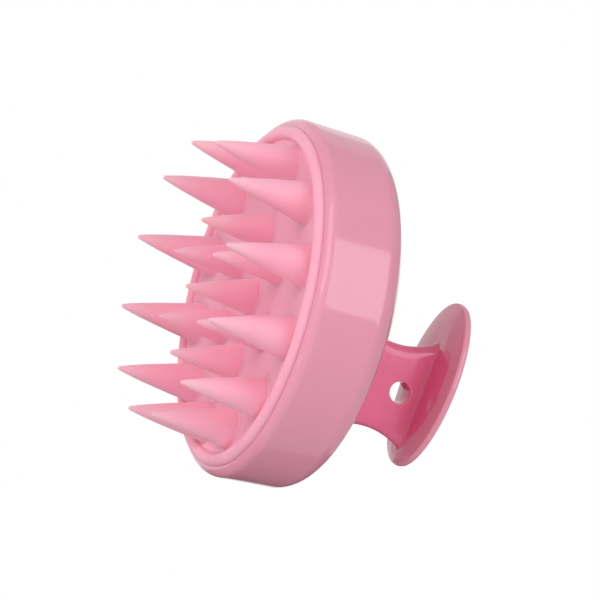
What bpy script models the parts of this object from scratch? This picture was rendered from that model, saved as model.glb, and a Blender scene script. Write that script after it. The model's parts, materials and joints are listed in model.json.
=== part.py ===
"""Scalp massager brush.

A round housing with a domed back holds a silicone pad with nineteen conical bristles, and an
offset handle (web, oval grip disc and its cover) stands on the dome.

Frame: metres, +Z up. The brush stands on its outer bristle tips at Z = 0 with the handle up.
The handle's web lies in the XZ plane, off centre towards +X and leaning the same way.
Heights named *_H are measured up from the head's front plane, which the bead stands proud of.
"""
import math

import bmesh
import bpy
from mathutils import Matrix, Vector

MM = 0.001
GAP = 0.3 * MM                  # clearance between pieces that touch
PROUD = 1.0 * MM                # how far a cutter stands out of what it cuts
OVERLAP = 0.4 * MM              # how far joined solids run into each other

# Housing
LIP_Z = 18.7 * MM               # height of the head's front plane over the outer bristle tips
HEAD_R = 42.5 * MM              # largest radius, just behind the lip
REAR_R = 42.05 * MM             # radius where the side wall turns into the back corner
WALL = 2.3 * MM
LIP_ROUND = 2.2 * MM
LIP_CREST_H = 0.84 * MM
LIP_INNER_R = 40.2 * MM
LIP_EDGE = 0.4 * MM             # height of the bevel inside the lip
CORNER_ROUND = 5.3 * MM
CORNER_H = 15.6 * MM            # centre height of the back corner's rounding
DOME_H = 30.4 * MM              # top of the dome
SHOULDER_H = 9.3 * MM           # inner ring that the pad's skirt rests on
SHOULDER_R = 37.4 * MM
SHOULDER_T = 1.6 * MM

# Bristle pad
BEAD_R = 38.5 * MM
BEAD_ROUND = 1.4 * MM
BEAD_H = 0.65 * MM
FLOOR_DISH = 1.45 * MM          # how much deeper the floor is at the centre
PAD_BACK_H = 6.0 * MM
SKIRT_T = 2.0 * MM

# Support plate and its screws
PLATE_R = 37.6 * MM
PLATE_T = 2.0 * MM
BOSS_R = 2.6 * MM
BOSS_RING_R = 30.0 * MM
BOSS_ANGLES = (60, 180, 300)
SHANK_R = 1.1 * MM
SCREW_HEAD_R = 2.4 * MM
SCREW_HEAD_T = 1.2 * MM
PLATE_SCREW_LENGTH = 8.0 * MM
HANDLE_SCREW_LENGTH = 12.0 * MM
BORE_SPARE = 0.6 * MM           # depth left under a screw's end

# Bristles: count, base radius of the ring, tip radius of the ring, base radius, tip height
OUTER_COUNT = 12
OUTER_RING_R = 31.7 * MM
OUTER_TIP_RING_R = 32.7 * MM
OUTER_BASE_R = 4.9 * MM
INNER_COUNT = 6
INNER_RING_R = 15.6 * MM
INNER_BASE_R = 4.4 * MM
INNER_TIP_Z = 3.8 * MM
INNER_LEAN = math.radians(4.5)  # the inner bristles and the central one lean towards +X
TIP_ROUND = 0.6 * MM
FLANK_POWER = 0.86              # below 1 the flank bulges
PIVOT_DEPTH = 4.0 * MM          # distance of a bristle's bending point from the pad's floor
DIMPLE_REACH = 1.2 * MM         # how far a dimple's cutter reaches out of the pad's floor

# Handle, in its own frame: U towards +X, V along +Y, S up along the handle from the dome
HANDLE_X = 12.0 * MM
WEB_HALF_T = 2.4 * MM
WEB_EDGE = 2.8 * MM             # length of the rounding at each edge of the web
WEB_LOW_WAIST = 10.0 * MM       # +U side
WEB_LOW_WAIST_S = 10.0 * MM
WEB_LOW_CURVE = 28.0            # flare per square metre of distance from the waist
WEB_HIGH_WAIST = 10.8 * MM      # -U side
WEB_HIGH_WAIST_S = 7.0 * MM
WEB_HIGH_CURVE = 30.0
FOOT_S = -1.9 * MM
FOOT_FILLET = 1.6 * MM
DISC_FILLET = 1.0 * MM
DISC_U = -4.85 * MM
DISC_A = 20.6 * MM
DISC_B = 14.9 * MM
DISC_S = 18.5 * MM              # underside of the disc, halfway to its rim
DISC_T = 2.2 * MM
DISC_CONE = 0.4 * MM            # the underside drops this much towards the web
DISC_RISE = 0.4 * MM            # and rises this much towards the rim
DISC_CURVE = 2.6 * MM           # width of the part that rises
EDGE_INSET = 0.4 * MM
CAP_RIM = 2.4 * MM
CAP_T = 1.0 * MM
HOLE_R = 2.6 * MM
HOLE_U = -0.3 * MM
HOLE_S = 12.75 * MM
SCREW_U = 7.0 * MM
SEAT_T = 3.4 * MM               # thickened seat inside the dome under the handle
SEAT_MARGIN = 2.0 * MM          # width of the seat around the handle's foot
POCKET_TOP_S = 8.0 * MM         # top of the cutter that opens the seat

HOUSING_STEPS = 64
PAD_STEPS = 60
BRISTLE_STEPS = 14
SCREW_STEPS = 14
SECTION_POINTS = 32
FLOOR_RINGS = (0.75, 0.5, 0.25, 0.0)              # shares of the bead's radius
BRISTLE_RINGS = (0.76, 0.52, 0.3, 0.13, 0.03)     # shares of the length, from the tip

SILICONE = ("silicone", (0.93, 0.42, 0.50, 1.0), 0.5, 0.0)
SHELL_PINK = ("shell_pink", (0.76, 0.33, 0.42, 1.0), 0.15, 0.0)
HANDLE_PINK = ("handle_pink", (0.70, 0.20, 0.32, 1.0), 0.12, 0.0)
PLATE_WHITE = ("plate_white", (0.80, 0.78, 0.76, 1.0), 0.5, 0.0)
STEEL = ("screw_steel", (0.55, 0.56, 0.58, 1.0), 0.35, 1.0)


def clear_scene():
    for obj in list(bpy.data.objects):
        bpy.data.objects.remove(obj)


def new_collection(name):
    collection = bpy.data.collections.new(name)
    bpy.context.scene.collection.children.link(collection)
    return collection


def material(spec):
    name, colour, roughness, metallic = spec
    mat = bpy.data.materials.get(name) or bpy.data.materials.new(name)
    mat.use_nodes = True
    shader = mat.node_tree.nodes["Principled BSDF"]
    shader.inputs["Base Color"].default_value = colour
    shader.inputs["Roughness"].default_value = roughness
    shader.inputs["Metallic"].default_value = metallic
    mat.diffuse_color = colour
    return mat


def add_object(name, mesh, place, finish, collection):
    obj = bpy.data.objects.new(name, mesh)
    obj.matrix_world = place
    collection.objects.link(obj)
    if finish is None:
        obj.hide_render = True
        obj.display_type = "WIRE"
    else:
        mesh.materials.append(material(finish))
        mesh.shade_smooth()
        mesh.set_sharp_from_angle(angle=math.radians(35))
    return obj


def turned(name, profile, steps, place, finish, collection):
    """A profile of (radius, height) points, from top to bottom on its outer side, turned about Z."""
    mesh = bpy.data.meshes.new(name)
    edges = [(i, i + 1) for i in range(len(profile) - 1)]
    mesh.from_pydata([(r, 0, z) for r, z in profile], edges, [])
    obj = add_object(name, mesh, place, finish, collection)
    screw = obj.modifiers.new("turn", "SCREW")
    screw.axis = "Z"
    screw.steps = steps
    screw.render_steps = steps
    screw.use_merge_vertices = True
    screw.merge_threshold = 0.00001
    screw.use_smooth_shade = True
    return obj


def cylinder(name, radius, low, high, place, collection, segments=20):
    """A cutter or boss along the local Z of place, from height low to high."""
    bm = bmesh.new()
    middle = Matrix.Translation((0, 0, (low + high) / 2))
    bmesh.ops.create_cone(bm, cap_ends=True, segments=segments, radius1=radius, radius2=radius,
                          depth=high - low, matrix=middle)
    mesh = bpy.data.meshes.new(name)
    bm.to_mesh(mesh)
    bm.free()
    return add_object(name, mesh, place, None, collection)


def lofted(name, sections, place, finish, collection):
    """A closed skin over rings of equal length, with both ends capped."""
    bm = bmesh.new()
    rings = [[bm.verts.new(point) for point in section] for section in sections]
    count = len(rings[0])
    for lower, upper in zip(rings, rings[1:]):
        for i in range(count):
            j = (i + 1) % count
            bm.faces.new((lower[i], lower[j], upper[j], upper[i]))
    bm.faces.new(list(reversed(rings[0])))
    bm.faces.new(rings[-1])
    mesh = bpy.data.meshes.new(name)
    bm.to_mesh(mesh)
    bm.free()
    return add_object(name, mesh, place, finish, collection)


def boolean(obj, operation, cutter):
    modifier = obj.modifiers.new(operation.lower(), "BOOLEAN")
    modifier.operation = operation
    modifier.solver = "EXACT"
    if isinstance(cutter, bpy.types.Collection):
        modifier.operand_type = "COLLECTION"
        modifier.collection = cutter
    else:
        modifier.object = cutter


def arc(centre_r, centre_z, radius, start, end, count):
    """Points on a circle in the profile plane; angles in degrees from +R towards +Z."""
    points = []
    for i in range(count + 1):
        angle = math.radians(start + (end - start) * i / count)
        points.append((centre_r + radius * math.cos(angle), centre_z + radius * math.sin(angle)))
    return points


def dome_radius():
    """Radius of the sphere that passes through the dome's top and is tangent to the corner."""
    rise = DOME_H - CORNER_H
    reach = REAR_R - CORNER_ROUND
    return (reach ** 2 + rise ** 2 - CORNER_ROUND ** 2) / (2 * (rise - CORNER_ROUND))


def dome_height(radius):
    """Height of the dome's outer face over the lip at a distance from the axis."""
    return DOME_H - dome_radius() + math.sqrt(dome_radius() ** 2 - radius ** 2)


def dome_profile(inset, dome_steps, corner_steps):
    """From the dome's top on the axis, over the back corner, to the side wall."""
    radius = dome_radius()
    centre_h = DOME_H - radius
    corner_r = REAR_R - CORNER_ROUND
    meet = math.degrees(math.atan2(CORNER_H - centre_h, corner_r))
    dome = arc(0, LIP_Z + centre_h, radius - inset, 90, meet, dome_steps)
    corner = arc(corner_r, LIP_Z + CORNER_H, CORNER_ROUND - inset, meet, 0, corner_steps)
    dome[0] = (0, dome[0][1])
    return dome + corner[1:]


def floor_height(radius):
    """Height of the pad's dished floor over the lip at a distance from the axis."""
    edge = BEAD_R - BEAD_ROUND
    return BEAD_H + FLOOR_DISH * (1 - (radius / edge) ** 2)


def handle_frame():
    """The handle's base point on the dome, with its Z along the dome's normal there."""
    radius = dome_radius()
    tilt = math.asin(HANDLE_X / radius)
    height = LIP_Z + DOME_H - radius * (1 - math.cos(tilt))
    return Matrix.Translation((HANDLE_X, 0, height)) @ Matrix.Rotation(tilt, 4, "Y")


def web_section(height, grow=0.0):
    """Outline of the web at a height S: flat sides and fully rounded ends."""
    low = WEB_LOW_WAIST + WEB_LOW_CURVE * (height - WEB_LOW_WAIST_S) ** 2 + grow
    high = WEB_HIGH_WAIST + WEB_HIGH_CURVE * (height - WEB_HIGH_WAIST_S) ** 2 + grow
    half = WEB_HALF_T + grow
    edge = WEB_EDGE + grow
    points = []
    for i in range(SECTION_POINTS):
        angle = 2 * math.pi * (i + 0.5) / SECTION_POINTS
        centre = low - edge if math.cos(angle) > 0 else edge - high
        points.append((centre + edge * math.cos(angle), half * math.sin(angle), height))
    return points


def disc_section(height, inset):
    """Oval outline of the grip disc at a height S."""
    points = []
    for i in range(SECTION_POINTS):
        angle = 2 * math.pi * (i + 0.5) / SECTION_POINTS
        points.append((DISC_U + (DISC_A - inset) * math.cos(angle),
                       (DISC_B - inset) * math.sin(angle), height))
    return points


def foot_outline(grow):
    """The web's outline where it enters the seat, the same at every depth."""
    return [(u, v) for u, v, _ in web_section(0, FOOT_FILLET + grow)]


def make_housing(parts, cutters):
    profile = dome_profile(0, 7, 4)
    crest = LIP_Z + LIP_CREST_H
    profile += arc(HEAD_R - LIP_ROUND, crest + LIP_ROUND, LIP_ROUND, 0, -84, 4)
    profile += [(LIP_INNER_R, crest + LIP_EDGE), (LIP_INNER_R, LIP_Z + SHOULDER_H)]
    profile.append((SHOULDER_R, LIP_Z + SHOULDER_H))
    profile += [(SHOULDER_R, LIP_Z + SHOULDER_H + SHOULDER_T),
                (REAR_R - WALL, LIP_Z + SHOULDER_H + SHOULDER_T)]
    profile += list(reversed(dome_profile(WALL, 7, 3)))
    housing = turned("housing", profile, HOUSING_STEPS, Matrix(), SHELL_PINK, parts)

    frame = handle_frame()
    seat = foot_outline(SEAT_MARGIN)
    seat_low = FOOT_S - SEAT_T
    seat_rings = [[(u, v, s) for u, v in seat] for s in (seat_low, -WALL + OVERLAP)]
    boolean(housing, "UNION", lofted("seat_boss", seat_rings, frame, None, cutters))
    for angle in BOSS_ANGLES:
        place = boss_place(angle)
        name = f"plate_boss_{angle}"
        low = PAD_BACK_H + PLATE_T + 2 * GAP
        boss = cylinder(name, BOSS_R, low, dome_height(BOSS_RING_R + BOSS_R), place, cutters, 16)
        boolean(housing, "UNION", boss)
        bore = cylinder(f"{name}_bore", SHANK_R + GAP, low - PROUD, low + PLATE_SCREW_LENGTH,
                        place, cutters, 12)
        boolean(housing, "DIFFERENCE", bore)

    pocket = foot_outline(GAP)
    pocket_rings = [[(u, v, s) for u, v in pocket] for s in (FOOT_S - GAP, POCKET_TOP_S)]
    boolean(housing, "DIFFERENCE", lofted("seat_pocket", pocket_rings, frame, None, cutters))
    for side in (-1, 1):
        place = frame @ Matrix.Translation((side * SCREW_U, 0, 0))
        bore = cylinder(f"seat_bore_{side}", SHANK_R + GAP, seat_low - PROUD, 0, place, cutters, 12)
        boolean(housing, "DIFFERENCE", bore)


def boss_place(angle):
    """Frame of a plate boss, at the lip's height on the boss ring."""
    turn = math.radians(angle)
    return Matrix.Translation((BOSS_RING_R * math.cos(turn), BOSS_RING_R * math.sin(turn), LIP_Z))


def make_handle(parts, cutters):
    frame = handle_frame()
    sections = [[(u, v, s) for u, v in foot_outline(0)] for s in (FOOT_S, 0)]
    for share in (0.35, 0.7, 1.0):
        height = FOOT_FILLET * share
        grow = FOOT_FILLET - math.sqrt(FOOT_FILLET ** 2 - (FOOT_FILLET - height) ** 2)
        sections.append(web_section(height, grow))
    fillet_start = DISC_S - DISC_CONE - DISC_FILLET
    steps = 5
    for i in range(1, steps + 1):
        height = FOOT_FILLET + (fillet_start - FOOT_FILLET) * i / steps
        sections.append(web_section(height))
    for turn in (30, 60, 90):
        angle = math.radians(turn)
        height = fillet_start + DISC_FILLET * math.sin(angle)
        sections.append(web_section(height, DISC_FILLET * (1 - math.cos(angle))))
    top = DISC_S + DISC_T
    rim = DISC_S + DISC_RISE
    sections.append(disc_section(DISC_S, DISC_CURVE))
    sections.append(disc_section(rim, EDGE_INSET))
    sections.append(disc_section(rim + EDGE_INSET, 0))
    sections.append(disc_section(top - EDGE_INSET, 0))
    sections.append(disc_section(top, EDGE_INSET))
    sections.append(disc_section(top, CAP_RIM))
    sections.append(disc_section(top - CAP_T - GAP, CAP_RIM))
    handle = lofted("handle", sections, frame, HANDLE_PINK, parts)

    centre = Matrix.Translation((HOLE_U, 0, HOLE_S))
    across = frame @ centre @ Matrix.Rotation(math.pi / 2, 4, "X")
    reach = WEB_HALF_T + PROUD
    hole = cylinder("hanging_hole", HOLE_R, -reach, reach, across, cutters, 24)
    boolean(handle, "DIFFERENCE", hole)
    for side in (-1, 1):
        place = frame @ Matrix.Translation((side * SCREW_U, 0, 0))
        depth = HANDLE_SCREW_LENGTH - SEAT_T + BORE_SPARE
        bore = cylinder(f"handle_bore_{side}", SHANK_R + GAP, FOOT_S - PROUD, FOOT_S + depth,
                        place, cutters, 12)
        boolean(handle, "DIFFERENCE", bore)

    top_rings = [disc_section(height, CAP_RIM + GAP) for height in (top - CAP_T, top)]
    lofted("grip_cap", top_rings, frame, HANDLE_PINK, parts)


def screw_profile(length):
    """Pan-head screw along Z: the head's top at 0, the shank's end at the given length."""
    head = SCREW_HEAD_T
    half = 0.5 * head
    return [(0, length), (0.5 * SHANK_R, length), (SHANK_R, length - SHANK_R), (SHANK_R, head),
            (SCREW_HEAD_R, head), (SCREW_HEAD_R, half), (0.75 * SCREW_HEAD_R, 0), (0, 0)]


def make_screws(parts):
    head_low = PAD_BACK_H + GAP
    for number, angle in enumerate(BOSS_ANGLES, 1):
        place = boss_place(angle) @ Matrix.Translation((0, 0, head_low))
        profile = screw_profile(PLATE_SCREW_LENGTH)
        turned(f"plate_screw_{number}", profile, SCREW_STEPS, place, STEEL, parts)
    low = FOOT_S - SEAT_T - SCREW_HEAD_T - GAP
    for number, side in enumerate((-1, 1), 1):
        place = handle_frame() @ Matrix.Translation((side * SCREW_U, 0, low))
        profile = screw_profile(HANDLE_SCREW_LENGTH)
        turned(f"handle_screw_{number}", profile, SCREW_STEPS, place, STEEL, parts)


def make_plate(parts, cutters):
    low = LIP_Z + PAD_BACK_H + GAP
    high = low + PLATE_T
    plate = turned("support_plate", [(0, high), (PLATE_R, high), (PLATE_R, low), (0, low)],
                   48, Matrix(), PLATE_WHITE, parts)
    for angle in BOSS_ANGLES:
        place = boss_place(angle)
        floor = PAD_BACK_H + GAP
        counterbore = cylinder(f"plate_counterbore_{angle}", SCREW_HEAD_R + GAP, floor - PROUD,
                               floor + SCREW_HEAD_T + GAP, place, cutters, 16)
        boolean(plate, "DIFFERENCE", counterbore)
        clearance = cylinder(f"plate_clearance_{angle}", SHANK_R + GAP, floor - PROUD,
                             floor + PLATE_T + PROUD, place, cutters, 12)
        boolean(plate, "DIFFERENCE", clearance)


def bristle_spots():
    """Name, base radius, floor point and tip point of every bristle."""
    spots = []
    for i in range(OUTER_COUNT):
        angle = math.radians(180 - 15 - 30 * i)
        outward = Vector((math.cos(angle), math.sin(angle), 0))
        base = outward * OUTER_RING_R
        base.z = LIP_Z + floor_height(OUTER_RING_R)
        spots.append((f"bristle_outer_{i + 1:02d}", OUTER_BASE_R, base, outward * OUTER_TIP_RING_R))
    for i in range(INNER_COUNT + 1):
        ring_r = INNER_RING_R if i < INNER_COUNT else 0.0
        angle = math.radians(180 - 60 * i)
        base = Vector((ring_r * math.cos(angle), ring_r * math.sin(angle),
                       LIP_Z + floor_height(ring_r)))
        drop = base.z - INNER_TIP_Z
        tip = base + Vector((drop * math.tan(INNER_LEAN), 0, -drop))
        name = f"bristle_inner_{i + 1:02d}" if i < INNER_COUNT else "bristle_center"
        spots.append((name, INNER_BASE_R, base, tip))
    return spots


def pivot_frame(base, tip):
    """Frame at a bristle's bending point, with Z from the tip to the pad."""
    axis = (base - tip).normalized()
    turn = Vector((0, 0, 1)).rotation_difference(axis)
    return Matrix.Translation(base - axis * PIVOT_DEPTH) @ turn.to_matrix().to_4x4()


def foot_arc(base_r, grow, count):
    """The ball-shaped foot, concentric with the bending point, from its pole to its rim."""
    radius = math.hypot(base_r, PIVOT_DEPTH) + grow
    rim = math.degrees(math.asin(PIVOT_DEPTH / radius))
    points = arc(0, 0, radius, 90, rim, count)
    points[0] = (0, radius)
    return points


def bristle_profile(base_r, length):
    profile = foot_arc(base_r, 0, 3)
    for share in BRISTLE_RINGS:
        flank = (share - BRISTLE_RINGS[-1]) ** FLANK_POWER
        radius = TIP_ROUND + (base_r - TIP_ROUND) * flank
        profile.append((radius, PIVOT_DEPTH - length * (1 - share)))
    profile.append((0, PIVOT_DEPTH - length))
    return profile


def make_bristles(parts):
    for name, base_r, base, tip in bristle_spots():
        profile = bristle_profile(base_r, (base - tip).length)
        turned(name, profile, BRISTLE_STEPS, pivot_frame(base, tip), SILICONE, parts)


def make_pad(parts, dimples):
    bead_h = LIP_Z + BEAD_H
    outer_r = BEAD_R + BEAD_ROUND
    back = LIP_Z + PAD_BACK_H
    skirt = LIP_Z + SHOULDER_H - GAP
    profile = [(0, back), (outer_r - SKIRT_T, back), (outer_r - SKIRT_T, skirt), (outer_r, skirt)]
    profile += arc(BEAD_R, bead_h, BEAD_ROUND, 0, -180, 6)
    for share in FLOOR_RINGS:
        radius = share * BEAD_R
        profile.append((radius, LIP_Z + floor_height(radius)))
    pad = turned("bristle_pad", profile, PAD_STEPS, Matrix(), SILICONE, parts)
    for name, base_r, base, tip in bristle_spots():
        rim = foot_arc(base_r, GAP, 3)
        low = PIVOT_DEPTH - DIMPLE_REACH
        profile = rim + [(rim[-1][0], low), (0, low)]
        turned(f"dimple_{name}", profile, BRISTLE_STEPS, pivot_frame(base, tip), None, dimples)
    boolean(pad, "DIFFERENCE", dimples)


def main():
    clear_scene()
    parts = new_collection("scalp_massager_brush")
    cutters = new_collection("cutters")
    dimples = new_collection("dimple_cutters")
    make_pad(parts, dimples)
    make_bristles(parts)
    make_plate(parts, cutters)
    make_housing(parts, cutters)
    make_handle(parts, cutters)
    make_screws(parts)


main()
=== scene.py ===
import json
import math

import bmesh
import bpy
import numpy as np
from mathutils import Matrix, Vector


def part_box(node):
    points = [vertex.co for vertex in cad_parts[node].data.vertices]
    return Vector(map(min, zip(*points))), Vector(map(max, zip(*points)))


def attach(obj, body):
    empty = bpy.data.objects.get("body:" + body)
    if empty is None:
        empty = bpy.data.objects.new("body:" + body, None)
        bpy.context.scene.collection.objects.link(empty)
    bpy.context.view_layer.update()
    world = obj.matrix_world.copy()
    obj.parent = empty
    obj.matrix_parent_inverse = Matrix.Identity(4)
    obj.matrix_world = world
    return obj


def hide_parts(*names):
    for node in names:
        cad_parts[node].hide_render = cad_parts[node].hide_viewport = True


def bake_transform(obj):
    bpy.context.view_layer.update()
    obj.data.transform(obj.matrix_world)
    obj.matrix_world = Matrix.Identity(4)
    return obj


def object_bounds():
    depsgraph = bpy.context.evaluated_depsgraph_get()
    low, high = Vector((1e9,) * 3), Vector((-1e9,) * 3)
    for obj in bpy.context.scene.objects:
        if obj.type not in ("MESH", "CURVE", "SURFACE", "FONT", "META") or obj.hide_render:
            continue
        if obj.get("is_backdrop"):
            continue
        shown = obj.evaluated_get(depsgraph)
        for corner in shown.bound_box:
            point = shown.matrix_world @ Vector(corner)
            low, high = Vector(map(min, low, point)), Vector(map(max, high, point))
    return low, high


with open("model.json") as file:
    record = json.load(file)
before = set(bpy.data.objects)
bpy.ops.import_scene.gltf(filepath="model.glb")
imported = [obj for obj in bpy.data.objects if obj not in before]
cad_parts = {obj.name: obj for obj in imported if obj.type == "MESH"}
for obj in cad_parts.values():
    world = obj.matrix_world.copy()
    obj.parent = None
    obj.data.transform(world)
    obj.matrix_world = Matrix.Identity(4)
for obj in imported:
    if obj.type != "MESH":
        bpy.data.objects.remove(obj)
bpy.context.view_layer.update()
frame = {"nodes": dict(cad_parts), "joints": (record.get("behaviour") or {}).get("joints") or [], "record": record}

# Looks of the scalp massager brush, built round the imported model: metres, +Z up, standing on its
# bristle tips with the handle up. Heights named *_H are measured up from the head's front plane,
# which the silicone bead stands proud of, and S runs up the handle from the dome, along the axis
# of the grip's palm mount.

MM = 0.001
PROUD = 1.0 * MM                # how far a cutter stands out of what it cuts
BEAD_ROUND = 1.4 * MM
BEAD_H = 0.65 * MM
LIP_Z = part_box("bristle_pad")[0].z + BEAD_ROUND - BEAD_H
HEAD_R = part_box("housing")[1].x

# Housing
GAP = 0.3 * MM                  # clearance between neighbouring pieces
REAR_R = HEAD_R - 0.45 * MM
WALL = 2.3 * MM
LIP_ROUND = 2.2 * MM
LIP_CREST_H = 0.84 * MM
LIP_INNER_R = 40.2 * MM
LIP_BEVEL = 0.05 * MM
LIP_WALL_H = 4.0 * MM           # a ring on the bore's wall behind the lip
CORNER_ROUND = 5.3 * MM
CORNER_H = 15.6 * MM
DOME_H = 30.4 * MM
SHOULDER_H = 9.3 * MM
SHOULDER_R = 37.4 * MM
SHOULDER_T = 1.6 * MM
BOSS_R = 2.6 * MM
BOSS_RING_R = 30.0 * MM
BOSS_ANGLES = (60, 180, 300)
BOSS_LOW_H = 8.6 * MM
BORE_R = 1.4 * MM
BORE_TOP_H = 16.3 * MM
SEAT_OVERLAP = 0.4 * MM         # how far the handle's seat runs into the dome's wall

# Silicone
BEAD_R = 38.5 * MM
BEAD_FLARE = 0.37 * MM          # the soft bead is pressed out against the lip
BEAD_FILLET = 0.5 * MM
BEAD_SLOPE = 4.0                # steepness of the bead's foot where it runs into the floor
FLOOR_DISH = 1.45 * MM
PAD_BACK_H = 6.0 * MM
SKIRT_T = 2.0 * MM
SKIRT_INSET = 0.3 * MM          # how far the skirt steps in behind the bead
SKIRT_LOW_H = 2.7 * MM
TIP_ROUND = 0.5 * MM
TIP_LENGTH = 0.9 * TIP_ROUND
TIP_SLICE = 0.05 * MM           # the points of a solid this near its lowest one are its tip
FLANK_POWER = 0.86              # below 1 the flank bulges
FLANK_END = 0.03                # share of the length where the flank gives way to the tip
PAINTED_TIP_LIGHT_START = 0.45                # share of the length where the paler tip starts: painted light, for light showing through the thin tip
ROOT_FILLET = 0.9 * MM
ROOT_SINK = 0.03 * MM           # the fillet's edge lies this deep in the pad's face
ROOT_FOLLOW = 3 * ROOT_FILLET   # down to here the rings follow the pad's face
ROOT_DEPTH = 2.5 * MM           # how far a bristle runs on inside the pad
ROOT_INSET = 1.2 * MM           # and how much narrower than its base it ends there
ROOT_STEP = 0.5 * MM            # depth in the pad of a ring between that end and the fillet
ROOT_GROW = 0.6 * ROOT_FILLET   # how far that ring is wider than the flank

# Handle
WEB_HALF_T = 2.4 * MM
WEB_EDGE = 2.8 * MM
WEB_LOW_WAIST = (10.0 * MM, 10.0 * MM, 28.0)     # half width, S of the waist, flare
WEB_HIGH_WAIST = (10.8 * MM, 7.0 * MM, 30.0)
FOOT_S = -1.9 * MM
FOOT_FILLET = 1.6 * MM
FOOT_BEVEL = 0.3 * MM
FOOT_LIFT = 0.05 * MM           # how far the foot's edge stands off the dome
DISC_FILLET = 0.8 * MM
DISC_U = -4.85 * MM
DISC_A = 20.6 * MM
DISC_B = 14.9 * MM
DISC_S = 18.5 * MM
DISC_T = 2.18 * MM
DISC_SPREAD = 3.0               # spreads the web's outline points round the oval disc
DISC_CONE = 0.4 * MM            # the disc's underside drops this much towards the web
DISC_RISE = 0.5 * MM            # and rises this much towards the rim
DISC_RISE_POWER = 2.2
DISC_EDGE = 0.35 * MM
DISC_CROWN = 0.12 * MM          # how far the middle of the disc's edge bulges
PAINTED_LIGHT_START = 0.70                # share of the disc's half width where the painted light, a paler colour, starts
PAINTED_LIGHT_BLEND = 0.05
DEEP_LOW_U = 11.0 * MM          # beside the web, between these, the disc keeps its deep colour and gets no painted light
DEEP_HIGH_U = -12.8 * MM
MARK_BELOW = 0.1 * MM           # heights where the painted paler colour ends, below and at the top face
MARK_UNDER_TOP = 0.02 * MM
CAP_RIM = 2.4 * MM
CAP_T = 1.0 * MM
CAP_EDGE = 0.25 * MM
CAP_BEVEL = 0.1 * MM
CAP_DISH = 0.25 * MM            # depth of the cover's dished middle
HOLE_R = 2.6 * MM
HOLE_EDGE = 0.25 * MM
HOLE_U = -0.3 * MM
HOLE_S = 12.75 * MM
SCREW_U = 7.0 * MM
GRIP_BORE_S = 7.0 * MM
BORE_CONE = 0.6 * MM            # height of a bore's drilled tip
SEAT_T = 3.4 * MM
SEAT_MARGIN = 2.0 * MM
POCKET_TOP_S = 3.0 * MM
# Rounded mouth of the pocket for the foot: (height over the dome, growth of the outline)
POCKET_MOUTH = [(-0.25 * MM, 0), (-0.12 * MM, 0.03 * MM), (-0.04 * MM, 0.1 * MM),
                (0, 0.2 * MM), (0.4 * MM, 0.5 * MM)]

TURN_STEPS = 256
BRISTLE_STEPS = 48
END_STEPS = 40                  # points round each rounded edge of the web
SIDE_STEPS = 44                 # points along each flat side of the web
BORE_STEPS = 24
BOSS_STEPS = 32
HOLE_STEPS = 64
SHARP_ANGLE = 35.0              # degrees; faces shade smoothly up to this angle
CONE_SHARP_ANGLE = 60.0

# Camera, below the head's front plane
CAMERA_AT = (0.02516, -0.66048, -0.22099)        # metres
CAMERA_TURN = (-147.514, -64.937, -122.761)      # degrees, XYZ
CAMERA_LENS = 182.7             # millimetres, as the sensor's width
CAMERA_SENSOR = 36.0

# Studio, in metres
FLOOR_SIZE = 8.0
FLOOR_DROP = 0.02 * MM          # the floor lies this far under the bristle tips
WORLD_GREY = 0.46


# ---------------------------------------------------------------- mesh helpers

def mesh_object(name, points, faces, smooth_angle=SHARP_ANGLE):
    """An object from points and faces, with its normals outward and smooth up to an angle."""
    mesh = bpy.data.meshes.new(name)
    mesh.from_pydata([tuple(p) for p in points], [], faces)
    bm = bmesh.new()
    bm.from_mesh(mesh)
    bmesh.ops.recalc_face_normals(bm, faces=bm.faces)
    bm.to_mesh(mesh)
    bm.free()
    obj = bpy.data.objects.new(name, mesh)
    bpy.context.scene.collection.objects.link(obj)
    soften(obj, smooth_angle)
    return obj


def soften(obj, angle):
    """Smooth shading, with sharp edges where faces meet at more than an angle in degrees."""
    obj.data.shade_smooth()
    obj.data.set_sharp_from_angle(angle=math.radians(angle))


def skin(name, rings, start=None, end=None, closed=False, smooth_angle=SHARP_ANGLE):
    """A skin over rings of equal length. Each end is a pole point, or a flat cap for None.
    With closed, the last ring joins the first instead."""
    count = len(rings[0])
    points = [p for ring in rings for p in ring]
    faces = []
    last = (len(rings) - 1) * count
    starts = list(range(0, last + 1, count))
    following = starts[1:] + ([0] if closed else [])
    for low, high in zip(starts, following):
        for i in range(count):
            j = (i + 1) % count
            faces.append((low + i, low + j, high + j, high + i))
    if not closed:
        for pole, first in ((start, 0), (end, last)):
            if pole is None:
                faces.append(tuple(range(first, first + count)))
                continue
            points.append(pole)
            for i in range(count):
                faces.append((first + i, first + (i + 1) % count, len(points) - 1))
    return mesh_object(name, points, faces, smooth_angle)


def turned(name, profile, steps, place=Matrix()):
    """A profile of (radius, height) points turned about Z. It closes on the axis at both ends
    where its radius is zero, and otherwise into a ring."""
    poled = profile[0][0] < 1e-9
    body = profile[1:-1] if poled else profile
    turn = np.linspace(0, 2 * math.pi, steps, endpoint=False)
    rings = []
    for radius, height in body:
        rings.append([place @ Vector((radius * math.cos(a), radius * math.sin(a), height))
                      for a in turn])
    if poled:
        start = place @ Vector((0, 0, profile[0][1]))
        end = place @ Vector((0, 0, profile[-1][1]))
        return skin(name, rings, start, end)
    return skin(name, rings, closed=True)


def arc(centre_r, centre_z, radius, start, end, count):
    """Points on a circle in the profile plane; angles in degrees from +R towards +Z."""
    turn = np.radians(np.linspace(start, end, count + 1))
    return [(centre_r + radius * math.cos(a), centre_z + radius * math.sin(a)) for a in turn]


def boolean(obj, operation, cutters):
    """Applies the booleans of obj with several closed meshes, and removes those."""
    for cutter in cutters:
        modifier = obj.modifiers.new("cut", "BOOLEAN")
        modifier.operation = operation
        modifier.solver = "EXACT"
        modifier.object = cutter
    bake(obj)
    for cutter in cutters:
        bpy.data.objects.remove(cutter)


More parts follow.
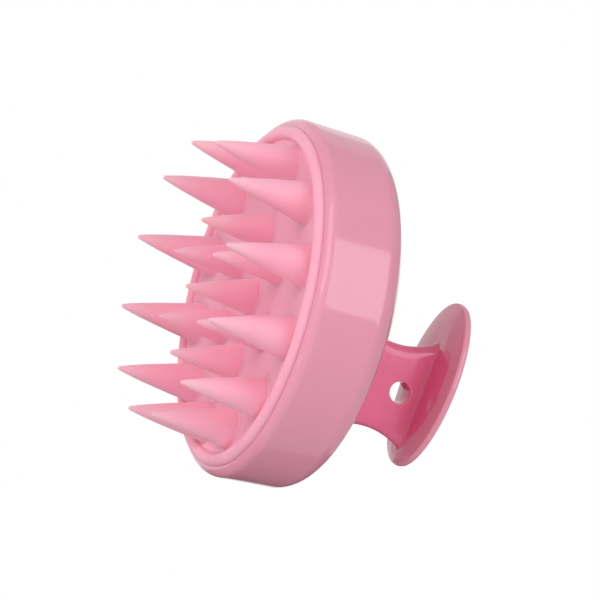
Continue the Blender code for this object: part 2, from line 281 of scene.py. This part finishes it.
def bake(obj):
    """Replaces the object's mesh by the result of its modifiers."""
    graph = bpy.context.evaluated_depsgraph_get()
    mesh = bpy.data.meshes.new_from_object(obj.evaluated_get(graph))
    obj.modifiers.clear()
    obj.data = mesh


def write_mark(obj, name, values):
    """Writes a value for each vertex, which the piece's material reads by name."""
    shade = obj.data.attributes.new(name, "FLOAT", "POINT")
    shade.data.foreach_set("value", np.array(values, np.float32))


def finish_piece(obj, body, slot, finish, *nodes):
    """Gives a piece its material and its CAD body, and hides the CAD nodes that it stands for. The slot is not
    used.
    """
    obj.data.materials.clear()
    obj.data.materials.append(finish)
    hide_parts(*nodes)
    if body:
        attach(obj, body)


# ---------------------------------------------------------------- materials

class Nodes:
    """A short way to write a node material."""

    def __init__(self, name):
        self.material = bpy.data.materials.new(name)
        self.material.use_nodes = True
        self.tree = self.material.node_tree
        self.shader = self.tree.nodes["Principled BSDF"]
        self.place = self.add("ShaderNodeTexCoord").outputs["Object"]

    def add(self, kind, **settings):
        node = self.tree.nodes.new(kind)
        for key, value in settings.items():
            setattr(node, key, value)
        return node

    def link(self, source, target):
        self.tree.links.new(source, target)

    def value(self, **values):
        for key, value in values.items():
            self.shader.inputs[key.replace("_", " ")].default_value = value

    def noise(self, scale, detail=3.0, roughness=0.5):
        node = self.add("ShaderNodeTexNoise")
        node.inputs["Scale"].default_value = scale
        node.inputs["Detail"].default_value = detail
        node.inputs["Roughness"].default_value = roughness
        self.link(self.place, node.inputs["Vector"])
        return node.outputs["Fac"]

    def spread(self, fac, low, high, out_low=0.0, out_high=1.0):
        node = self.add("ShaderNodeMapRange")
        for key, value in zip(("From Min", "From Max", "To Min", "To Max"),
                              (low, high, out_low, out_high)):
            node.inputs[key].default_value = value
        self.link(fac, node.inputs["Value"])
        return node.outputs["Result"]

    def mix(self, fac, first, second):
        node = self.add("ShaderNodeMix", data_type="RGBA")
        for socket, value in ((node.inputs[0], fac), (node.inputs[6], first),
                              (node.inputs[7], second)):
            if isinstance(value, bpy.types.NodeSocket):
                self.link(value, socket)
            else:
                socket.default_value = value
        return node.outputs[2]

    def math(self, operation, first, second):
        node = self.add("ShaderNodeMath", operation=operation)
        for socket, value in zip(node.inputs, (first, second)):
            if isinstance(value, bpy.types.NodeSocket):
                self.link(value, socket)
            else:
                socket.default_value = value
        return node.outputs[0]

    def bump(self, height, strength, distance):
        node = self.add("ShaderNodeBump")
        node.inputs["Strength"].default_value = strength
        node.inputs["Distance"].default_value = distance
        self.link(height, node.inputs["Height"])
        self.link(node.outputs["Normal"], self.shader.inputs["Normal"])


def colour(*rgb):
    return (*rgb, 1.0)


def gloss_plastic(name, base, deep, worn, roughness, rim=None):
    """Polished moulded plastic: faint mottling, polish marks, dust-dull patches and pale edges.
    With rim, a second colour painted where the piece's rim attribute is 1, as painted light."""
    n = Nodes(name)
    mottle = n.spread(n.noise(70.0, 4.0), 0.35, 0.65)
    flow = n.spread(n.noise(14.0, 2.0), 0.3, 0.7)
    body = n.mix(n.math("MULTIPLY", mottle, 0.35), base, deep)
    body = n.mix(n.math("MULTIPLY", flow, 0.12), body, worn)
    pointed = n.add("ShaderNodeNewGeometry").outputs["Pointiness"]
    edge = n.spread(pointed, 0.53, 0.62, 0.0, 0.35)
    body = n.mix(edge, body, worn)
    if rim:
        # painted light: the paler second colour where the rim attribute is 1
        thin = n.add("ShaderNodeAttribute", attribute_name="rim").outputs["Fac"]
        body = n.mix(thin, body, rim)
    n.link(body, n.shader.inputs["Base Color"])
    smudge = n.spread(n.noise(110.0, 5.0, 0.6), 0.4, 0.75, roughness, roughness + 0.07)
    n.link(smudge, n.shader.inputs["Roughness"])
    n.value(IOR=1.5, Coat_Weight=0.1, Coat_Roughness=0.06, Subsurface_Weight=0.08,
            Subsurface_Radius=(1.0, 0.4, 0.4), Subsurface_Scale=1.2 * MM)
    peel = n.math("ADD", n.math("MULTIPLY", n.noise(900.0, 2.0), 0.3), n.noise(190.0, 2.0))
    n.bump(peel, 0.05, 0.04 * MM)
    return n.material


def silicone(name, base, light, depth, **marks):
    """Soft satin silicone. Each mark is a colour where the piece's attribute of that name is 1."""
    n = Nodes(name)
    cloud = n.spread(n.noise(60.0, 3.0), 0.35, 0.65)
    body = n.mix(cloud, base, light)
    for mark, marked in marks.items():
        share = n.add("ShaderNodeAttribute", attribute_name=mark).outputs["Fac"]
        body = n.mix(share, body, marked)
    n.link(body, n.shader.inputs["Base Color"])
    dull = n.spread(n.noise(240.0, 5.0, 0.65), 0.35, 0.7, 0.36, 0.50)
    n.link(dull, n.shader.inputs["Roughness"])
    n.value(IOR=1.42, Subsurface_Weight=depth, Subsurface_Radius=(1.0, 0.42, 0.50),
            Subsurface_Scale=1.2 * MM, Sheen_Weight=0.08, Sheen_Roughness=0.5)
    grain = n.math("ADD", n.math("MULTIPLY", n.noise(1500.0, 2.0), 0.35), n.noise(420.0, 3.0))
    n.bump(grain, 0.22, 0.08 * MM)
    return n.material


def plain_plastic(name):
    """White moulded plastic of the hidden plate, with a matt tooled face."""
    n = Nodes(name)
    cloud = n.spread(n.noise(90.0, 3.0), 0.35, 0.65)
    n.link(n.mix(cloud, colour(0.74, 0.72, 0.70), colour(0.82, 0.80, 0.78)),
           n.shader.inputs["Base Color"])
    n.link(n.spread(n.noise(300.0, 4.0), 0.35, 0.7, 0.45, 0.6), n.shader.inputs["Roughness"])
    n.bump(n.noise(1400.0, 3.0), 0.25, 0.08 * MM)
    return n.material


def steel(name):
    """Zinc-plated screw steel with fine turning marks and dull patches."""
    n = Nodes(name)
    patch = n.spread(n.noise(500.0, 4.0), 0.35, 0.65)
    n.link(n.mix(patch, colour(0.52, 0.53, 0.55), colour(0.66, 0.66, 0.64)),
           n.shader.inputs["Base Color"])
    n.link(n.spread(n.noise(900.0, 5.0), 0.3, 0.7, 0.28, 0.48), n.shader.inputs["Roughness"])
    n.value(Metallic=1.0)
    n.bump(n.noise(2500.0, 2.0), 0.3, 0.04 * MM)
    return n.material


# ---------------------------------------------------------------- silicone

def floor_height(radius):
    """Height of the pad's dished floor over the head's front plane."""
    return BEAD_H + FLOOR_DISH * (1 - (radius / (BEAD_R - BEAD_ROUND)) ** 2)


def pad_height(radius):
    """Height of the pad's face, the bead included, with a fillet between floor and bead."""
    off = abs(radius - BEAD_R)
    if off < BEAD_ROUND:
        bead = BEAD_H - math.sqrt(BEAD_ROUND ** 2 - off ** 2)
    else:
        bead = BEAD_H + BEAD_SLOPE * (off - BEAD_ROUND)
    if radius > BEAD_R:
        return bead
    floor = floor_height(radius)
    mixed = max(0.0, 1 - abs(floor - bead) / BEAD_FILLET)
    return min(floor, bead) - BEAD_FILLET * mixed ** 2 / 4


def make_pad(finish):
    outer_r = BEAD_R + BEAD_ROUND
    inner_r = outer_r - SKIRT_T
    skirt_h = SHOULDER_H - GAP
    profile = [(0, PAD_BACK_H), (0.5 * inner_r, PAD_BACK_H), (inner_r, PAD_BACK_H),
               (inner_r, skirt_h), (outer_r - SKIRT_INSET, skirt_h),
               (outer_r - SKIRT_INSET, SKIRT_LOW_H)]
    side = arc(BEAD_R, BEAD_H, BEAD_ROUND, 35, -90, 16)
    profile += [(r + BEAD_FLARE * max(r - BEAD_R, 0) / BEAD_ROUND, h) for r, h in side]
    near = np.linspace(BEAD_R, BEAD_R - BEAD_ROUND - BEAD_FILLET, 26)[1:]
    far = np.linspace(BEAD_R - BEAD_ROUND - BEAD_FILLET, 0, 30)[1:]
    profile += [(radius, pad_height(radius)) for radius in [*near, *far]]
    profile = [(radius, height + LIP_Z) for radius, height in profile]
    pad = turned("pad", profile, TURN_STEPS)
    # painted shade: the floor between the bristles takes the darker, greyer floor colour; the bead keeps the pad's
    # own
    edge_r = BEAD_R - BEAD_ROUND - BEAD_FILLET
    write_mark(pad, "floor", [smoothstep((edge_r - v.co.to_2d().length) / BEAD_FILLET)
                              for v in pad.data.vertices])
    finish_piece(pad, "brush", "silicone", finish, "bristle_pad")


def smoothstep(x):
    x = min(max(x, 0.0), 1.0)
    return x * x * (3 - 2 * x)


def bristle_ends(node, pivot):
    """Root on the pad's floor, tip and base radius of a bristle, from its CAD solid and pivot."""
    points = np.array([v.co for v in frame["nodes"][node].data.vertices])
    lowest = points[points[:, 2] < points[:, 2].min() + TIP_SLICE].mean(axis=0)
    tip = Vector((lowest[0], lowest[1], points[:, 2].min()))
    axis = (tip - pivot).normalized()
    along = (points - np.array(pivot)) @ np.array(axis)
    apart = np.linalg.norm(points - np.array(pivot) - np.outer(along, np.array(axis)), axis=1)
    base_r = float(apart.max())

    root = pivot
    for _ in range(3):
        height = LIP_Z + pad_height(math.hypot(root.x, root.y))
        root = tip + (pivot - tip) * ((height - tip.z) / (pivot.z - tip.z))
    root.z = LIP_Z + floor_height(math.hypot(root.x, root.y))
    return root, tip, base_r


def make_bristle(node, pivot, finish):
    """A cone on the pad: a rounded tip, a bulging flank and a fillet that runs into the pad."""
    root, tip, base_r = bristle_ends(node, pivot)
    length = root.z - tip.z

    def radius_at(below):
        """Radius of the flank at a height below the root."""
        share = max(1 - below / length - FLANK_END, 0) / (1 - FLANK_END)
        return TIP_ROUND + (base_r - TIP_ROUND) * share ** FLANK_POWER

    def centre_at(below):
        return root + (tip - root) * (below / length)

    turn = np.linspace(0, 2 * math.pi, BRISTLE_STEPS, endpoint=False)
    rings, tips, root_shade = [], [], []

    def add_ring(radius, below, centre_below):
        """A ring at a height below the pad's face, which it follows near the root."""
        centre = centre_at(centre_below)
        follow = 1 - smoothstep(below / ROOT_FOLLOW)
        ring = []
        for a in turn:
            x = centre.x + radius * math.cos(a)
            y = centre.y + radius * math.sin(a)
            face = LIP_Z + pad_height(math.hypot(x, y))
            ring.append((x, y, root.z + follow * (face - root.z) - below))
        rings.append(ring)
        # painted light: paler and greyer towards the tip, for light showing through the thin silicone
        tips.append(smoothstep((below / length - PAINTED_TIP_LIGHT_START) / (1 - PAINTED_TIP_LIGHT_START)))
        # painted shade: the darker floor colour at the root, in the crease where the bristle meets the pad
        root_shade.append(1 - smoothstep(below / ROOT_FILLET))

    fillet_top = radius_at(ROOT_FILLET)
    add_ring(base_r - ROOT_INSET, -ROOT_DEPTH, 0)
    add_ring(fillet_top + ROOT_GROW, -ROOT_STEP, 0)
    for a in np.radians(np.linspace(84, 6, 12)):
        below = ROOT_FILLET * (1 - math.sin(a)) - ROOT_SINK
        add_ring(fillet_top + ROOT_FILLET * (1 - math.cos(a)), below, max(below, 0))
    tip_start = length - TIP_LENGTH
    for below in np.linspace(ROOT_FILLET, tip_start, 30):
        add_ring(radius_at(below), below, below)
    last_r = radius_at(tip_start)
    for a in np.radians(np.linspace(15, 80, 6)):
        below = tip_start + TIP_LENGTH * math.sin(a)
        add_ring(last_r * math.cos(a), below, below)
    top = (root.x, root.y, root.z + ROOT_DEPTH)
    name = node.replace("bristle", "cone")
    cone = skin(name, rings, start=top, end=tuple(tip), smooth_angle=CONE_SHARP_ANGLE)
    write_mark(cone, "tip", np.repeat(tips, BRISTLE_STEPS).tolist() + [0.0, 1.0])
    write_mark(cone, "floor", np.repeat(root_shade, BRISTLE_STEPS).tolist() + [1.0, 0.0])
    finish_piece(cone, None, "silicone", finish, node)
    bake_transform(cone)


# ---------------------------------------------------------------- housing and handle

def dome_radius():
    """Radius of the sphere through the dome's top that is tangent to the corner's rounding."""
    rise = DOME_H - CORNER_H
    reach = REAR_R - CORNER_ROUND
    return (reach ** 2 + rise ** 2 - CORNER_ROUND ** 2) / (2 * (rise - CORNER_ROUND))


def dome_profile(inset, dome_steps, corner_steps):
    """From the dome's top, over the back corner, to the side wall."""
    radius = dome_radius()
    centre_h = DOME_H - radius
    corner_r = REAR_R - CORNER_ROUND
    meet = math.degrees(math.atan2(CORNER_H - centre_h, corner_r))
    dome = arc(0, LIP_Z + centre_h, radius - inset, 90, meet, dome_steps)
    corner = arc(corner_r, LIP_Z + CORNER_H, CORNER_ROUND - inset, meet, 0, corner_steps)
    dome[0] = (0, dome[0][1])
    return dome + corner[1:]


def handle_frame():
    """The handle's base point on the dome, with Z along the palm mount's axis."""
    mount = next(m for m in frame["record"]["mounts"] if m["name"] == "palm_face")
    axis = Vector(mount["axis"]).normalized()
    tilt = math.atan2(axis.x, axis.z)
    centre = Vector((0, 0, LIP_Z + DOME_H - dome_radius()))
    return Matrix.Translation(centre + axis * dome_radius()) @ Matrix.Rotation(tilt, 4, "Y")


def dome_drop(u, v):
    """How far the dome's face lies below the handle's base plane."""
    return math.sqrt(dome_radius() ** 2 - u * u - v * v) - dome_radius()


def web_section(height, grow=0.0):
    """Outline of the web at S: flat sides and rounded edges, as (u, v) points."""
    waist, at, flare = WEB_LOW_WAIST
    low = waist + flare * (height - at) ** 2 + grow
    waist, at, flare = WEB_HIGH_WAIST
    high = waist + flare * (height - at) ** 2 + grow
    half, edge = WEB_HALF_T + grow, WEB_EDGE + grow
    outline = []
    for side, reach in ((1, low), (-1, high)):
        for a in np.radians(np.linspace(-90, 90, END_STEPS)):
            outline.append((side * (reach - edge + edge * math.cos(a)), side * half * math.sin(a)))
        start, end = side * (reach - edge), -side * ((high if side > 0 else low) - edge)
        for share in np.linspace(0, 1, SIDE_STEPS + 2)[1:-1]:
            outline.append((start + (end - start) * share, side * half))
    return outline


def disc_section(inset):
    """Oval outline of the disc, with its points spread as those of the web."""
    outline = []
    for u, v in web_section(DISC_S):
        a = math.atan2(DISC_SPREAD * v, u - DISC_U)
        outline.append((DISC_U + (DISC_A - inset) * math.cos(a), (DISC_B - inset) * math.sin(a)))
    return outline


def lifted(outline, height):
    return [(u, v, height) for u, v in outline]


def placed(rings, place):
    return [[place @ Vector(p) for p in ring] for ring in rings]


def screw_bore(name, low, high, place, cone=0.0):
    """The cutter for a screw's bore, from its mouth to its end, with a drilled cone there."""
    profile = [(0, low - PROUD), (BORE_R, low - PROUD), (BORE_R, high), (0, high + cone)]
    return turned(name, profile, BORE_STEPS, place)


def web_rings():
    """The handle's outlines from the foot's end to the fillet under the disc."""
    foot = web_section(0, FOOT_FILLET)
    bottom = web_section(0, FOOT_FILLET - FOOT_BEVEL)
    rings = [lifted(bottom, FOOT_S), lifted(foot, FOOT_S + FOOT_BEVEL)]
    rings.append([(u, v, dome_drop(u, v) + FOOT_LIFT) for u, v in foot])
    for a in np.radians(np.linspace(12, 90, 9)):
        grow = FOOT_FILLET * (1 - math.sin(a))
        height = FOOT_FILLET * (1 - math.cos(a))
        outline = web_section(height, grow)
        rest = (1 - math.sin(a)) ** 0.5
        rings.append([(u, v, height + rest * (dome_drop(u, v) + FOOT_LIFT)) for u, v in outline])
    fillet_start = DISC_S - DISC_CONE - DISC_FILLET
    for height in np.linspace(FOOT_FILLET, fillet_start, 22)[1:]:
        rings.append(lifted(web_section(height), height))
    for a in np.radians(np.linspace(10, 90, 9)):
        height = fillet_start + DISC_FILLET * math.sin(a)
        rings.append(lifted(web_section(height, DISC_FILLET * (1 - math.cos(a))), height))
    return rings


def disc_rings():
    """The handle's outlines from the disc's underside, round its edge, to the cover's recess."""
    rings = []
    inner = web_section(DISC_S - DISC_CONE, DISC_FILLET)
    rim = disc_section(DISC_EDGE + DISC_CROWN)
    for share in np.linspace(0, 1, 25)[1:]:
        low = DISC_S - DISC_CONE + (DISC_CONE + DISC_RISE) * share ** DISC_RISE_POWER
        rings.append([(a[0] + (b[0] - a[0]) * share, a[1] + (b[1] - a[1]) * share, low)
                      for a, b in zip(inner, rim)])
    top = DISC_S + DISC_T
    low_edge, high_edge = DISC_S + DISC_RISE + DISC_EDGE, top - DISC_EDGE
    for a in np.radians(np.linspace(-65, 0, 6)):
        rings.append(lifted(disc_section(DISC_CROWN + DISC_EDGE * (1 - math.cos(a))),
                            low_edge + DISC_EDGE * math.sin(a)))
    for share in np.linspace(0, 1, 7)[1:-1]:
        rings.append(lifted(disc_section(DISC_CROWN * (2 * share - 1) ** 2),
                            low_edge + (high_edge - low_edge) * share))
    for a in np.radians(np.linspace(0, 90, 7)):
        rings.append(lifted(disc_section(DISC_CROWN + DISC_EDGE * (1 - math.cos(a))),
                            high_edge + DISC_EDGE * math.sin(a)))
    rings.append(lifted(disc_section(CAP_RIM - CAP_EDGE), top))
    for a in np.radians(np.linspace(30, 90, 3)):
        rings.append(lifted(disc_section(CAP_RIM - CAP_EDGE * (1 - math.sin(a))),
                            top - CAP_EDGE * (1 - math.cos(a))))
    rings.append(lifted(disc_section(CAP_RIM), top - CAP_T - GAP))
    return rings


def hanging_hole(place):
    """The cutter for the hole through the web, with rounded edges."""
    flare = [(HOLE_R + HOLE_EDGE, -WEB_HALF_T - PROUD)]
    for side, span in ((-1, (90, 0)), (1, (0, 90))):
        for a in np.radians(np.linspace(*span, 7)):
            flare.append((HOLE_R + HOLE_EDGE * (1 - math.cos(a)),
                          side * (WEB_HALF_T - HOLE_EDGE + HOLE_EDGE * math.sin(a))))
    flare.append((HOLE_R + HOLE_EDGE, WEB_HALF_T + PROUD))
    flare = [(0, flare[0][1]), *flare, (0, flare[-1][1])]
    across = place @ Matrix.Translation((HOLE_U, 0, HOLE_S)) @ Matrix.Rotation(math.pi / 2, 4, "X")
    return turned("hanging_hole", flare, HOLE_STEPS, across)


def make_handle(place, finish):
    handle = skin("grip", placed(web_rings() + disc_rings(), place))
    cutters = [hanging_hole(place)]
    for side in (-1, 1):
        at = place @ Matrix.Translation((side * SCREW_U, 0, 0))
        cutters.append(screw_bore(f"grip_bore_{side}", FOOT_S, GRIP_BORE_S, at, BORE_CONE))
    boolean(handle, "DIFFERENCE", cutters)
    soften(handle, SHARP_ANGLE)
    mark_painted_light(handle, place)
    finish_piece(handle, "brush", "handle_pink", finish, "handle")


def mark_painted_light(handle, place):
    """Writes 1 on the disc's edge and on its underside away from the web, for painted light: a paler
    colour where the glossy disc catches light and reflections, while beside the web it keeps the deep
    colour of the web's reflection and shade. It writes 0 elsewhere."""
    back = place.inverted()
    values = []
    for vertex in handle.data.vertices:
        u, v, height = back @ vertex.co
        out = math.hypot((u - DISC_U) / DISC_A, v / DISC_B)
        away = max(out - PAINTED_LIGHT_START, (u - DEEP_LOW_U) / DISC_B, (DEEP_HIGH_U - u) / DISC_B)
        on_disc = DISC_S - DISC_CONE - MARK_BELOW < height < DISC_S + DISC_T - MARK_UNDER_TOP
        values.append(smoothstep(away / PAINTED_LIGHT_BLEND) if on_disc else 0.0)
    write_mark(handle, "rim", values)


def make_cap(place, finish):
    """The cover in the disc's outer face, with a softened rim and a faintly dished middle."""
    top = DISC_S + DISC_T
    low = top - CAP_T
    rings = [lifted(disc_section(CAP_RIM + GAP + CAP_BEVEL), low)]
    rings.append(lifted(disc_section(CAP_RIM + GAP), low + CAP_BEVEL))
    for a in np.radians(np.linspace(0, 90, 5)):
        rings.append(lifted(disc_section(CAP_RIM + GAP + CAP_EDGE * (1 - math.cos(a))),
                            top - CAP_EDGE + CAP_EDGE * math.sin(a)))
    edge = disc_section(CAP_RIM + GAP + CAP_EDGE)
    for share in np.linspace(0.9, 0.08, 14):
        depth = CAP_DISH * (1 - share ** 2) ** 2
        rings.append([(DISC_U + (u - DISC_U) * share, v * share, top - depth) for u, v in edge])
    pole = place @ Vector((DISC_U, 0, top - CAP_DISH))
    cap = skin("grip_cover", placed(rings, place), end=tuple(pole))
    finish_piece(cap, "brush", "handle_pink", finish, "grip_cap")


def shell_profile():
    """The housing's section, from the dome's top outside, round the lip, to the dome inside."""
    profile = dome_profile(0, 60, 16)
    lip_h = LIP_CREST_H + LIP_ROUND
    profile += [(REAR_R + (HEAD_R - REAR_R) * share, LIP_Z + CORNER_H + (lip_h - CORNER_H) * share)
                for share in (0.25, 0.5, 0.75)]
    profile += arc(HEAD_R - LIP_ROUND, LIP_Z + lip_h, LIP_ROUND, 0, -90, 18)
    profile += [(LIP_INNER_R, LIP_Z + LIP_CREST_H + LIP_BEVEL)]
    shoulder = LIP_Z + SHOULDER_H
    profile += [(LIP_INNER_R, LIP_Z + LIP_WALL_H), (LIP_INNER_R, shoulder), (SHOULDER_R, shoulder),
                (SHOULDER_R, shoulder + SHOULDER_T), (REAR_R - WALL, shoulder + SHOULDER_T)]
    return profile + list(reversed(dome_profile(WALL, 40, 8)))


def seat_pocket(place):
    """The cutter for the pocket that the handle's foot sits in, with a rounded mouth."""
    rings = [lifted(web_section(0, FOOT_FILLET + GAP), FOOT_S - GAP)]
    for rise, grow in POCKET_MOUTH:
        outline = web_section(0, FOOT_FILLET + GAP + grow)
        rings.append([(u, v, dome_drop(u, v) + rise) for u, v in outline])
    rings.append(lifted(outline, POCKET_TOP_S))
    return skin("seat_pocket", placed(rings, place))


def make_housing(place, finish):
    housing = turned("shell", shell_profile(), TURN_STEPS)
    seat_low = FOOT_S - SEAT_T
    seat = web_section(0, FOOT_FILLET + SEAT_MARGIN)
    seat_rings = [lifted(seat, seat_low), lifted(seat, SEAT_OVERLAP - WALL)]
    solids = [skin("seat", placed(seat_rings, place))]
    bores = []
    for angle in BOSS_ANGLES:
        a = math.radians(angle)
        at = Matrix.Translation((BOSS_RING_R * math.cos(a), BOSS_RING_R * math.sin(a), LIP_Z))
        top = DOME_H - dome_radius() + math.sqrt(dome_radius() ** 2 - (BOSS_RING_R + BOSS_R) ** 2)
        boss = [(0, BOSS_LOW_H), (BOSS_R, BOSS_LOW_H), (BOSS_R, top), (0, top)]
        solids.append(turned(f"boss_{angle}", boss, BOSS_STEPS, at))
        bores.append(screw_bore(f"boss_bore_{angle}", BOSS_LOW_H, BORE_TOP_H, at))
    boolean(housing, "UNION", solids)

    bores.append(seat_pocket(place))
    for side in (-1, 1):
        at = place @ Matrix.Translation((side * SCREW_U, 0, 0))
        bores.append(screw_bore(f"seat_bore_{side}", seat_low, 0, at))
    boolean(housing, "DIFFERENCE", bores)
    soften(housing, SHARP_ANGLE)
    finish_piece(housing, "brush", "shell_pink", finish, "housing")


# ---------------------------------------------------------------- studio

def rectangle(name, width, height):
    """A flat mesh in the XY plane that faces up."""
    x, y = width / 2, height / 2
    mesh = bpy.data.meshes.new(name)
    mesh.from_pydata([(-x, -y, 0), (x, -y, 0), (x, y, 0), (-x, y, 0)], [], [(0, 1, 2, 3)])
    return mesh


def make_floor():
    """A pale floor that the object stands on. It shows from above only, and passes light."""
    mesh = rectangle("floor", FLOOR_SIZE, FLOOR_SIZE)
    floor = bpy.data.objects.new("floor", mesh)
    bpy.context.scene.collection.objects.link(floor)
    mat = bpy.data.materials.new("floor_pale")
    mat.use_nodes = True
    tree = mat.node_tree
    shader = tree.nodes["Principled BSDF"]
    shader.inputs["Base Color"].default_value = colour(0.90, 0.90, 0.90)
    shader.inputs["Roughness"].default_value = 0.8
    clear = tree.nodes.new("ShaderNodeBsdfTransparent")
    mix = tree.nodes.new("ShaderNodeMixShader")
    geometry = tree.nodes.new("ShaderNodeNewGeometry")
    path = tree.nodes.new("ShaderNodeLightPath")
    seen = tree.nodes.new("ShaderNodeMath")
    seen.operation = "MULTIPLY"
    front = tree.nodes.new("ShaderNodeMath")
    front.operation = "SUBTRACT"
    front.inputs[0].default_value = 1.0
    links = tree.links
    links.new(geometry.outputs["Backfacing"], front.inputs[1])
    links.new(front.outputs[0], seen.inputs[0])
    links.new(path.outputs["Is Camera Ray"], seen.inputs[1])
    links.new(seen.outputs[0], mix.inputs["Fac"])
    links.new(clear.outputs[0], mix.inputs[1])
    links.new(shader.outputs[0], mix.inputs[2])
    links.new(mix.outputs[0], tree.nodes["Material Output"].inputs["Surface"])
    mesh.materials.append(mat)
    floor.location.z = -FLOOR_DROP
    floor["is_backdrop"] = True


def facing(obj, azimuth, elevation, distance):
    """Links an object and puts it round the brush, -Z towards the brush; angles in degrees."""
    a, e = math.radians(azimuth), math.radians(elevation)
    away = Vector((math.cos(a) * math.cos(e), math.sin(a) * math.cos(e), math.sin(e)))
    obj.location = Vector((0, 0, 0.5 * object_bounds()[1].z)) + away * distance
    obj.rotation_euler = away.to_track_quat("Z", "Y").to_euler()
    bpy.context.scene.collection.objects.link(obj)


def softbox(name, azimuth, elevation, distance, width, height, radiance,
            diffuse=True, glossy=True):
    """An area light that faces the brush. Angles are in degrees, sizes in metres."""
    data = bpy.data.lights.new(name, "AREA")
    data.shape = "RECTANGLE"
    data.size, data.size_y = width, height
    data.energy = radiance * width * height * math.pi
    light = bpy.data.objects.new(name, data)
    light.visible_diffuse = diffuse
    light.visible_glossy = glossy
    facing(light, azimuth, elevation, distance)


def flag(name, azimuth, elevation, distance, width, height):
    """A black card that shows in reflections only, and takes no light away."""
    mesh = rectangle(name, width, height)
    mat = bpy.data.materials.new("flag_black")
    mat.use_nodes = True
    mat.node_tree.nodes["Principled BSDF"].inputs["Base Color"].default_value = colour(0, 0, 0)
    mesh.materials.append(mat)
    card = bpy.data.objects.new(name, mesh)
    card.visible_camera = card.visible_diffuse = card.visible_shadow = False
    card.visible_transmission = card.visible_volume_scatter = False
    facing(card, azimuth, elevation, distance)
    card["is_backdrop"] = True


def make_world():
    """White behind the brush for the eye, and a soft pale grey for light and reflections."""
    world = bpy.data.worlds.new("studio")
    bpy.context.scene.world = world
    world.use_nodes = True
    tree = world.node_tree
    tree.nodes.clear()
    path = tree.nodes.new("ShaderNodeLightPath")
    seen = tree.nodes.new("ShaderNodeBackground")
    seen.inputs["Color"].default_value = colour(1, 1, 1)
    lit = tree.nodes.new("ShaderNodeBackground")
    lit.inputs["Color"].default_value = colour(WORLD_GREY, WORLD_GREY, WORLD_GREY)
    mix = tree.nodes.new("ShaderNodeMixShader")
    out = tree.nodes.new("ShaderNodeOutputWorld")
    tree.links.new(path.outputs["Is Camera Ray"], mix.inputs["Fac"])
    tree.links.new(lit.outputs[0], mix.inputs[1])
    tree.links.new(seen.outputs[0], mix.inputs[2])
    tree.links.new(mix.outputs[0], out.inputs["Surface"])


def make_camera():
    data = bpy.data.cameras.new("camera")
    data.sensor_width = CAMERA_SENSOR
    data.lens = CAMERA_LENS
    camera = bpy.data.objects.new("camera", data)
    camera.location = CAMERA_AT
    camera.rotation_euler = [math.radians(a) for a in CAMERA_TURN]
    bpy.context.scene.collection.objects.link(camera)
    bpy.context.scene.camera = camera


def make_studio():
    make_floor()
    make_world()
    # name, azimuth, elevation, distance, width, height, radiance
    softbox("key", -114, 27, 1.5, 1.1, 0.95, 2.4)
    softbox("under", -140, -48, 1.5, 1.3, 1.1, 1.7)
    softbox("front", -90, -80, 1.5, 1.4, 1.4, 1.35, glossy=False)
    softbox("backdrop", 99, 5, 2.0, 1.7, 2.4, 0.45, diffuse=False)
    softbox("edge", 133, 5, 2.0, 0.85, 2.4, 0.22, diffuse=False)
    softbox("fill", -45, -12, 1.5, 1.4, 1.4, 0.85, glossy=False)
    flag("flag", 42, 0, 1.2, 1.4, 2.4)
    make_camera()
    view = bpy.context.scene.view_settings
    view.view_transform = "Standard"
    view.look = "None"


# ---------------------------------------------------------------- the whole brush

def main():
    shell = gloss_plastic("shell_pink_gloss", colour(0.78, 0.30, 0.415),
                          colour(0.755, 0.275, 0.39), colour(0.86, 0.45, 0.55), 0.09)
    # the handle's last colour is painted light, a paler pink on the disc away from the web
    grip = gloss_plastic("handle_pink_gloss", colour(0.85, 0.155, 0.31),
                         colour(0.82, 0.135, 0.285), colour(0.88, 0.32, 0.44), 0.10,
                         colour(0.82, 0.31, 0.42))
    # painted shade: a darker, greyer pink on the pad's floor and at the bristles' roots, where shade falls between
    # them
    painted_floor_shade = colour(0.80, 0.345, 0.455)
    # painted shade: the pad is the bristles' silicone painted a little darker
    soft = silicone("silicone_pad", colour(0.91, 0.385, 0.51), colour(0.92, 0.41, 0.53), 0.35,
                    floor=painted_floor_shade)
    # the bristles' tip colour is painted light, paler and greyer where light shows through the thin tips
    cones = silicone("silicone_bristle", colour(0.985, 0.41, 0.54), colour(0.99, 0.44, 0.565),
                     0.6, tip=colour(0.88, 0.51, 0.59), floor=painted_floor_shade)

    make_pad(soft)
    for joint in frame["joints"]:
        make_bristle(joint["child"], Vector(joint["pos_m"]), cones)
    place = handle_frame()
    make_housing(place, shell)
    make_handle(place, grip)
    make_cap(place, grip)

    plate_finish, screw_finish = plain_plastic("plate_white_matt"), steel("screw_steel_plated")
    for name, node in frame["nodes"].items():
        if name == "support_plate" or "screw" in name:
            node.data.materials.clear()
            node.data.materials.append(plate_finish if name == "support_plate" else screw_finish)


main()
make_studio()
